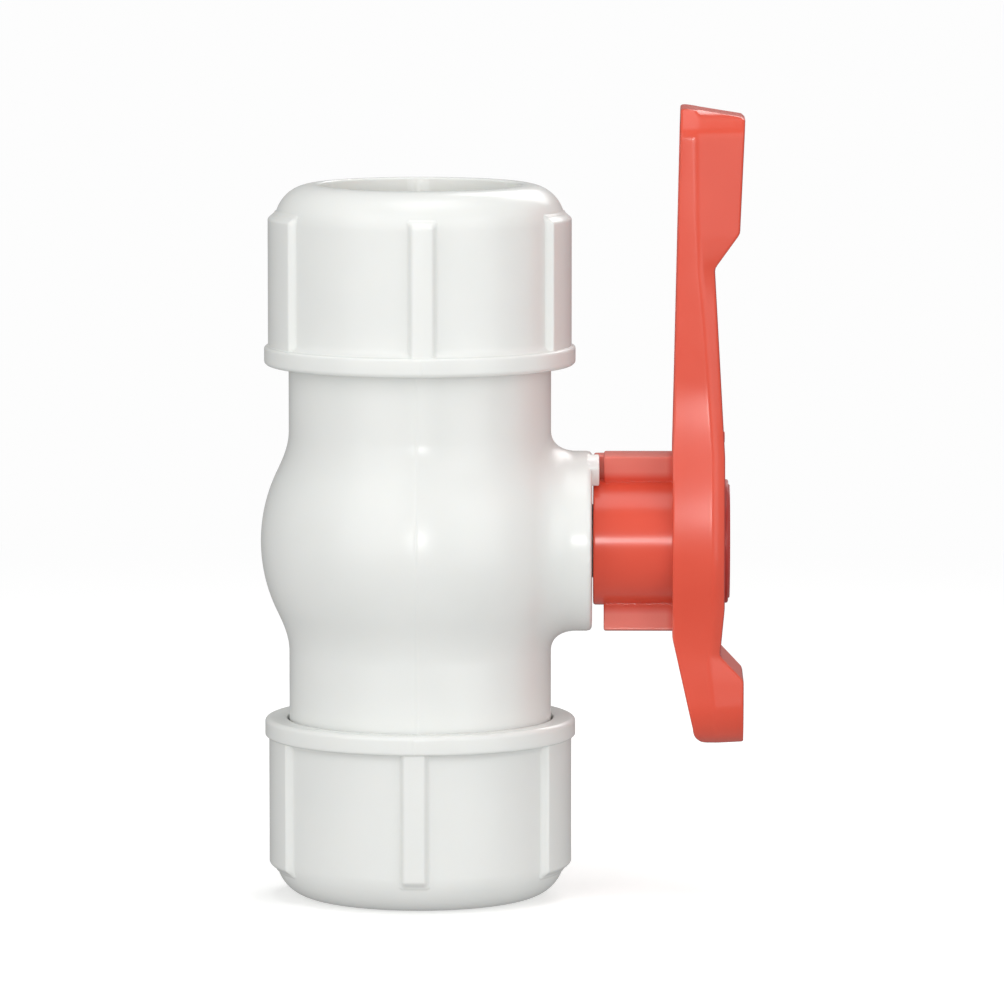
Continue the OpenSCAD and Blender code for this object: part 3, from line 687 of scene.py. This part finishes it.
# Bores for the stem's head, the screw, the screw's head and the cap, and the double-D socket
well_x, well_r, cap_seat_r, cap_seat_x = plate_x + 2.6, 7.1, 10.05, hub_x - 1.4
head_x, head_bore_r, screw_bore_r = boss_x + 0.7, 6.2, 2.75
bores = moved(turned("bores", [
    (0, sleeve_end - lap), (head_bore_r, sleeve_end - lap), (head_bore_r, head_x),
    (screw_bore_r, head_x), (screw_bore_r, well_x), (well_r, well_x), (well_r, cap_seat_x),
    (cap_seat_r, cap_seat_x), (cap_seat_r, hub_x + past), (0, hub_x + past)], steps=128), along_x)
flat, round_r = 4.1, 5.6
limit = degrees(np.arcsin(flat / round_r))
double_d = [(round_r * cos(radians(a)), round_r * sin(radians(a))) for a in np.linspace(-limit, limit, 13)]
double_d += [(-y, z) for y, z in double_d[::-1]]
socket = prism("socket", double_d, head_x - lap, plate_x)
joined(lever, bores, socket, how="DIFFERENCE")
moved(lever, at_ball)


def red_polypropylene():
    """Polypropylene coloured red in the mass, moulded in a polished tool. One red is painted in lit and
    shaded copies: a lighter coral on the side walls as painted light, paler wings as a painted highlight,
    and deep red on the outer face as painted shade."""
    made, tree, skin, place = new_material("red_polypropylene_moulded_gloss")
    # The way the surface faces picks its painted light and shade: the outer face, found by its normal, gets
    # painted shade
    facing = add(tree, "ShaderNodeSeparateXYZ", {"Vector": place.outputs["Normal"]})
    outer = add(tree, "ShaderNodeMapRange", {"Value": facing.outputs["X"], "From Min": 0.75,
                                             "From Max": 0.98}, interpolation_type="SMOOTHSTEP")
    cloud = add(tree, "ShaderNodeTexNoise", {"Vector": place.outputs["Object"], "Scale": 1 / (11 * MM),
                                             "Detail": 2})
    # Painted light: a lighter coral on the side walls
    side = add(tree, "ShaderNodeMix", {"Factor": cloud.outputs["Fac"], "A": hex_colour("#de4c35"),
                                       "B": hex_colour("#e65943")}, data_type="RGBA")
    # Painted highlight: the wings, off the sleeve and under the plate, are mixed to a paler red
    spot = add(tree, "ShaderNodeSeparateXYZ", {"Vector": place.outputs["Object"]})
    height = add(tree, "ShaderNodeMath", {0: spot.outputs["Z"], 1: mid_z * MM}, operation="SUBTRACT")
    off_stem = add(tree, "ShaderNodeMath", {0: height.outputs["Value"]}, operation="ABSOLUTE")
    fade_l = 1.2
    past_sleeve = add(tree, "ShaderNodeMapRange", {
        "Value": off_stem.outputs["Value"], "From Min": sleeve_r * MM,
        "From Max": (sleeve_r + fade_l) * MM})
    under_plate = add(tree, "ShaderNodeMapRange", {
        "Value": spot.outputs["X"], "From Min": (plate_x + 0.5) * MM, "From Max": (plate_x - 1) * MM})
    wing_highlight_mask = add(tree, "ShaderNodeMath", {
        0: past_sleeve.outputs["Result"], 1: under_plate.outputs["Result"]}, operation="MULTIPLY")
    side = add(tree, "ShaderNodeMix", {"Factor": wing_highlight_mask.outputs["Value"], "A": side.outputs["Result"],
                                       "B": hex_colour("#ee8071")}, data_type="RGBA")
    # Painted shade: a deep red on the outer face
    face = add(tree, "ShaderNodeMix", {"Factor": cloud.outputs["Fac"], "A": hex_colour("#ab160c"),
                                       "B": hex_colour("#bb1f12")}, data_type="RGBA")
    tint = add(tree, "ShaderNodeMix", {"Factor": outer.outputs["Result"], "A": side.outputs["Result"],
                                       "B": face.outputs["Result"]}, data_type="RGBA")
    tree.links.new(tint.outputs["Result"], skin.inputs["Base Color"])
    gloss = add(tree, "ShaderNodeMapRange", {"Value": cloud.outputs["Fac"], "To Min": 0.2, "To Max": 0.29})
    tree.links.new(gloss.outputs["Result"], skin.inputs["Roughness"])
    peel = add(tree, "ShaderNodeTexNoise", {"Vector": place.outputs["Object"], "Scale": 1 / (1.6 * MM)})
    ripple = add(tree, "ShaderNodeBump", {"Height": peel.outputs["Fac"], "Strength": 0.3,
                                          "Distance": 0.02 * MM})
    tree.links.new(ripple.outputs["Normal"], skin.inputs["Normal"])
    skin.inputs["IOR"].default_value = 1.49
    skin.inputs["Subsurface Weight"].default_value = 0.08
    skin.inputs["Subsurface Radius"].default_value = (2.0, 0.5, 0.4)
    skin.inputs["Subsurface Scale"].default_value = MM
    return made


finish_piece(lever, red_polypropylene(), "lever", "red_plastic", "lever", crease=28)

# ---- Lever screw and its washer ----
# A pan-head thread-forming screw and a flat washer, zinc-plated steel, hold the lever on the stem.


def plated_steel():
    """Rolled and zinc-plated steel: pale grey metal with cloudy, duller patches."""
    made, tree, skin, place = new_material("steel_zinc_plated")
    cloud = add(tree, "ShaderNodeTexNoise", {"Vector": place.outputs["Object"], "Scale": 1 / (1.5 * MM),
                                             "Detail": 4})
    tint = add(tree, "ShaderNodeMix", {"Factor": cloud.outputs["Fac"], "A": hex_colour("#b4b7ba"),
                                       "B": hex_colour("#d2d4d6")}, data_type="RGBA")
    tree.links.new(tint.outputs["Result"], skin.inputs["Base Color"])
    gloss = add(tree, "ShaderNodeMapRange", {"Value": cloud.outputs["Fac"], "To Min": 0.22, "To Max": 0.42})
    tree.links.new(gloss.outputs["Result"], skin.inputs["Roughness"])
    skin.inputs["Metallic"].default_value = 1
    return made


finish_nodes(plated_steel(), "lever_screw", "screw_washer")

# ---- Lever cap ----
# A red disc with a short skirt that snaps into the lever over the screw. Its face is slightly
# domed, with a fine raised ring near the edge, and duller than the lever.
cap_low, cap_high = box_mm("lever_cap")
cap_r = cap_high[1]
ring_out, ring_in, ring_h = cap_r - 0.8, cap_r - 1.5, 0.25
ring_x = cap_high[0]
face_x = ring_x - ring_h
cap_edge, ring_edge = 0.3, 0.1
skirt_out, skirt_in = well_r - 0.1, well_r - 1.1
dome_r, dome_x, dome_edge_x = ring_in - 0.3, ring_x - 0.02, face_x - 0.15
dome = [(r, dome_x - (dome_x - dome_edge_x) * (r / dome_r) ** 2) for r in np.linspace(dome_r, 0, 14)]
lever_cap = turned("cap_disc", [
    (0, cap_seat_x), (skirt_in, cap_seat_x), (skirt_in, cap_low[0]), (skirt_out, cap_low[0]),
    (skirt_out, cap_seat_x), (cap_r - 0.2, cap_seat_x), (cap_r, cap_seat_x + 0.2),
    (cap_r, face_x - cap_edge), (cap_r - 0.09, face_x - 0.09), (cap_r - cap_edge, face_x),
    (ring_out + ring_edge, face_x), (ring_out, face_x + 0.08), (ring_out - ring_edge, ring_x),
    (ring_in + ring_edge, ring_x), (ring_in, face_x + 0.08), (ring_in - ring_edge, dome_edge_x),
    *dome], steps=160)
moved(lever_cap, at_ball @ along_x)


def deep_red_plastic():
    """Red ABS from a finely etched mould: deep red, satin, with a 0.8 mm etch grain."""
    made, tree, skin, place = new_material("deep_red_abs_satin")
    cloud = add(tree, "ShaderNodeTexNoise", {"Vector": place.outputs["Object"], "Scale": 1 / (6 * MM)})
    tint = add(tree, "ShaderNodeMix", {"Factor": cloud.outputs["Fac"], "A": hex_colour("#a81e14"),
                                       "B": hex_colour("#b6281c")}, data_type="RGBA")
    tree.links.new(tint.outputs["Result"], skin.inputs["Base Color"])
    etch = add(tree, "ShaderNodeTexNoise", {"Vector": place.outputs["Object"], "Scale": 1 / (0.8 * MM)})
    bump = add(tree, "ShaderNodeBump", {"Height": etch.outputs["Fac"], "Strength": 0.3,
                                        "Distance": 0.02 * MM})
    tree.links.new(bump.outputs["Normal"], skin.inputs["Normal"])
    skin.inputs["IOR"].default_value = 1.53
    skin.inputs["Roughness"].default_value = 0.4
    return made


finish_piece(lever_cap, deep_red_plastic(), "lever", "deep_red_plastic", "lever_cap")

# ---- Rings inside the nuts ----
# In each nut, from the mouth inwards: a split acetal ring whose teeth bite the pipe, a plain
# polypropylene thrust ring, and a rubber ring that the thrust ring presses into the body's cone.


def acetal():
    """Moulded acetal, natural colour: warm off-white, slippery satin, with faint flow clouds."""
    made, tree, skin, place = new_material("acetal_moulded_natural")
    cloud = add(tree, "ShaderNodeTexNoise", {"Vector": place.outputs["Object"], "Scale": 1 / (4 * MM),
                                             "Detail": 2})
    tint = add(tree, "ShaderNodeMix", {"Factor": cloud.outputs["Fac"], "A": hex_colour("#ddd7c6"),
                                       "B": hex_colour("#e9e4d6")}, data_type="RGBA")
    tree.links.new(tint.outputs["Result"], skin.inputs["Base Color"])
    skin.inputs["IOR"].default_value = 1.48
    skin.inputs["Roughness"].default_value = 0.35
    return made


finish_nodes(acetal(), "upper_grip_ring", "lower_grip_ring")
finish_nodes(white_plastic, "upper_thrust_ring", "lower_thrust_ring")
finish_nodes(rubber, "upper_pipe_seal", "lower_pipe_seal")

# ---- Nuts ----
# Moulded from the same white polypropylene: a rounded mouth end, two wide grip pads, two narrow
# ribs between them, and a rim round the open end. A seam of the mould shows on the rim.
nut_r = 23.3
grip_r = 24.4
rim_r = nut_high[1]
edge_r = 6
mouth_r = 16.4
rim_at = nut_l - 3.1
pad_at = 4.8
# Half widths of pads and ribs in degrees, and how far their sides and ends slope in millimetres
pad_half, rib_half = 31, degrees(2 / grip_r)
flank, end_flank = 1.0, 1.3
seam_h, seam_w = 0.07, 0.2


def bend(radius, depth, size, start, stop, steps):
    """Points of an arc in the nut's section: centre (radius, depth), angles in degrees."""
    turn = np.radians(np.linspace(start, stop, steps))
    return [(radius + size * cos(a), depth + size * sin(a)) for a in turn]


def shoulder(depth):
    """Radius of the nut's side and its rounded mouth end, at a depth."""
    lift = max(0, edge_r - depth)
    return nut_r - edge_r + sqrt(edge_r ** 2 - lift ** 2)


# The section as (radius, depth) points: the outside from mouth to open end, then back inside. Depths
# lie close together where pads and ribs begin.
mouth_edge = 0.35
rim_fillet, rim_top, rim_foot = 1.1, 0.6, 0.9
outside = [(mouth_r, mouth_edge), (mouth_r + 0.1, 0.1), (mouth_r + mouth_edge, 0)]
outside += bend(nut_r - edge_r, edge_r, edge_r, -90, -22, 15)
outside += [(shoulder(d), d) for d in (4, *np.arange(4.2, 6, 0.15), 6.4, 7)]
outside += [(nut_r, d) for d in np.linspace(9, rim_at - rim_fillet - 0.5, 9)]
outside += bend(nut_r + rim_fillet, rim_at - rim_fillet, rim_fillet, 180, 90, 6)
outside += bend(rim_r - rim_top, rim_at + rim_top, rim_top, -80, 0, 6)
outside += bend(rim_r - rim_foot, nut_l - rim_foot, rim_foot, 0, 90, 7)
open_r, open_edge, open_l = 21.45, 0.4, 2
thread_root_r, thread_end = 21.4, body_end + 0.2
thrust_r, thrust_end, cone_r, lip_l = 20.1, 11.9, 17.65, 4
inside = [(open_r + open_edge, nut_l), (open_r + 0.1, nut_l - 0.1), (open_r, nut_l - open_edge),
          (open_r, nut_l - open_l), (thread_root_r, nut_l - open_l), (thread_root_r, thread_end),
          (thrust_r, thread_end), (thrust_r, thrust_end), (cone_r, lip_l), (mouth_r, lip_l)]

# Angles of the sections, close together at the sides of pads and ribs and at the seams
features = [(0, pad_half), (180, pad_half), (90, rib_half), (270, rib_half)]
mm_per_degree = 2 * pi * grip_r / 360
cluster = np.linspace(-0.7, 0.7, 11) / mm_per_degree
turns = list(np.arange(0, 360, 2.5))
turns += [(middle + s * width + c) % 360 for middle, width in features for s in (-1, 1) for c in cluster]
turns += [(middle + c) % 360 for middle in (90, 270) for c in np.linspace(-1, 1, 9)]
least_step = 0.09
stations = []
for turn in sorted(turns):
    if not stations or turn - stations[-1] > least_step:
        stations.append(turn)


def raised(turn, depth):
    """How far pads and ribs stand above the nut's side at an angle and a depth."""
    across = 0
    for middle, width in features:
        off = abs((turn - middle + 180) % 360 - 180)
        across = max(across, smooth((width - off) * mm_per_degree / flank + 0.5))
    return (grip_r - nut_r) * across * smooth((depth - pad_at + 0.5) / end_flank)


def nut_points(turn):
    """One section of the nut at an angle: outside, then inside, as (radius, depth)."""
    section = []
    off = min(abs(turn - 90), abs(turn - 270)) * mm_per_degree
    seam = seam_h * np.exp(-(off / seam_w) ** 2)
    for radius, depth in outside:
        lift = raised(turn, depth) if depth < nut_l - 1.6 else 0
        if lift > 0.001:
            radius = float(soft_max(radius, nut_r + lift, 0.3 * min(1, lift)))
        radius = min(radius, rim_r - seam_h)
        section.append((radius + (seam if rim_at < depth < nut_l - 0.5 else 0), depth))
    return section + inside


nut_turns, nut_crest_r = thread_turns - 0.5, 20.23
nut_ridge_start = -body_end - ridge_lead - thread_pitch * nut_turns


def nut(name, turn, place):
    """A nut whose ribs are turned by an angle, drawn below its mouth and then put in place."""
    rings = [nut_points(station) for station in stations]
    around, n = len(rings), len(rings[0])
    points = [(r * cos(radians(a)), r * sin(radians(a)), -d)
              for a, ring in zip(stations, rings) for r, d in ring]
    faces = [tuple(i % (around * n) for i in face) for face in rings_of(around + 1, n)]
    piece = moved(solid(name, points, faces), Matrix.Rotation(radians(turn), 4, "Z"))
    ridge = thread("ridge", thread_root_r + ridge_foot, nut_crest_r, nut_ridge_start, nut_turns)
    joined(piece, ridge)
    return moved(piece, place)


upper_nut = nut("nut_upper", 2.4, Matrix.Translation((0, 0, mouth_z)))
finish_piece(upper_nut, white_plastic, "upper_nut", "white_polypropylene", "upper_nut", crease=50)
lower_nut = nut("nut_lower", 0.9, Matrix.Rotation(pi, 4, "X"))
finish_piece(lower_nut, white_plastic, "lower_nut", "white_polypropylene", "lower_nut", crease=50)

# ---- Studio ----
# A plain pale floor that runs out to white, a small light beside the camera, large soft ones to the
# left and right, two more above and behind, and a room that is dimmer behind the valve, so that
# white edges stand out from the white ground.
scene = bpy.context.scene
scene.view_settings.view_transform = "Standard"
world = bpy.data.worlds.new("studio")
world.use_nodes = True
scene.world = world
tree = world.node_tree
room = tree.nodes["Background"]
room.inputs["Color"].default_value = hex_colour("#fbfbfb")
towards = add(tree, "ShaderNodeSeparateXYZ", {0: add(tree, "ShaderNodeTexCoord").outputs["Generated"]})
dimmer = add(tree, "ShaderNodeMapRange", {"Value": towards.outputs["Y"], "From Min": 0.2, "From Max": 0.9,
                                          "To Min": 0.56, "To Max": 0.28})
tree.links.new(dimmer.outputs["Result"], room.inputs["Strength"])
ground = add(tree, "ShaderNodeBackground", {"Color": hex_colour("#fdfdfd"), "Strength": 1.0})
path = add(tree, "ShaderNodeLightPath")
both = add(tree, "ShaderNodeMixShader", {0: path.outputs["Is Camera Ray"], 1: room.outputs["Background"],
                                         2: ground.outputs["Background"]})
tree.links.new(both.outputs["Shader"], tree.nodes["World Output"].inputs["Surface"])

floor_half = 6.0
corners = [(-floor_half, -floor_half, 0), (floor_half, -floor_half, 0), (floor_half, floor_half, 0),
           (-floor_half, floor_half, 0)]
floor_mesh = bpy.data.meshes.new("floor")
floor_mesh.from_pydata(corners, [], [(0, 1, 2, 3)])
floor = bpy.data.objects.new("floor", floor_mesh)
scene.collection.objects.link(floor)
# The white that the floor runs out to neither lights the valve nor shows in its gloss
floor.visible_diffuse = False
floor.visible_glossy = False
# The valve stands on its lower nut, so the floor keeps to that nut's mouth when it is unscrewed
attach(floor, "lower_grip")
paper, tree, sheet, place = new_material("paper_floor")
sheet.inputs["Base Color"].default_value = hex_colour("#f6f6f5")
sheet.inputs["Roughness"].default_value = 0.9
sheet.inputs["Emission Color"].default_value = hex_colour("#ffffff")
sheet.inputs["Emission Strength"].default_value = 0.3
away = add(tree, "ShaderNodeVectorMath", {0: place.outputs["Object"]}, operation="LENGTH")
fade = add(tree, "ShaderNodeMapRange", {"Value": away.outputs["Value"], "From Min": 0.08, "From Max": 0.5},
           interpolation_type="SMOOTHSTEP")
glow = add(tree, "ShaderNodeEmission", {"Color": hex_colour("#fdfdfd"), "Strength": 1.0})
mixed = add(tree, "ShaderNodeMixShader", {0: fade.outputs["Result"], 1: sheet.outputs["BSDF"],
                                          2: glow.outputs["Emission"]})
tree.links.new(mixed.outputs["Shader"], tree.nodes["Material Output"].inputs["Surface"])
floor.data.materials.append(paper)

middle = (Vector(cad_box[0]) + Vector(cad_box[1])) / 2
middle.y = 0


def soft_light(name, place, wide, tall, power):
    """Rectangular area light, turned towards the valve's middle."""
    lamp = bpy.data.lights.new(name, "AREA")
    lamp.shape = "RECTANGLE"
    lamp.size = wide
    lamp.size_y = tall
    lamp.energy = power
    light = bpy.data.objects.new(name, lamp)
    light.location = place
    light.rotation_euler = (middle - Vector(place)).to_track_quat("-Z", "Y").to_euler()
    scene.collection.objects.link(light)


soft_light("front", (0.01, -1.15, 0.2), 0.1, 0.1, 2.0)
soft_light("left", (-0.6, -0.8, 0.45), 0.85, 1.1, 3.6)
soft_light("right", (0.75, -0.75, 0.3), 0.75, 1.0, 3.0)
soft_light("top", (0.05, -0.1, 1.1), 0.6, 0.6, 2.4)
soft_light("back", (0.4, 0.95, 0.8), 0.6, 0.6, 3.8)

camera_far, camera_right, camera_high, lens = 1.25, 0.02, 0.2, 280
camera = bpy.data.objects.new("camera", bpy.data.cameras.new("camera"))
camera.data.lens = lens
camera.data.clip_start = 0.01
camera.location = (middle.x + camera_right, -camera_far, camera_high)
camera.rotation_euler = (middle - camera.location).to_track_quat("-Z", "Y").to_euler()
scene.collection.objects.link(camera)
scene.camera = camera

bpy.context.view_layer.update()
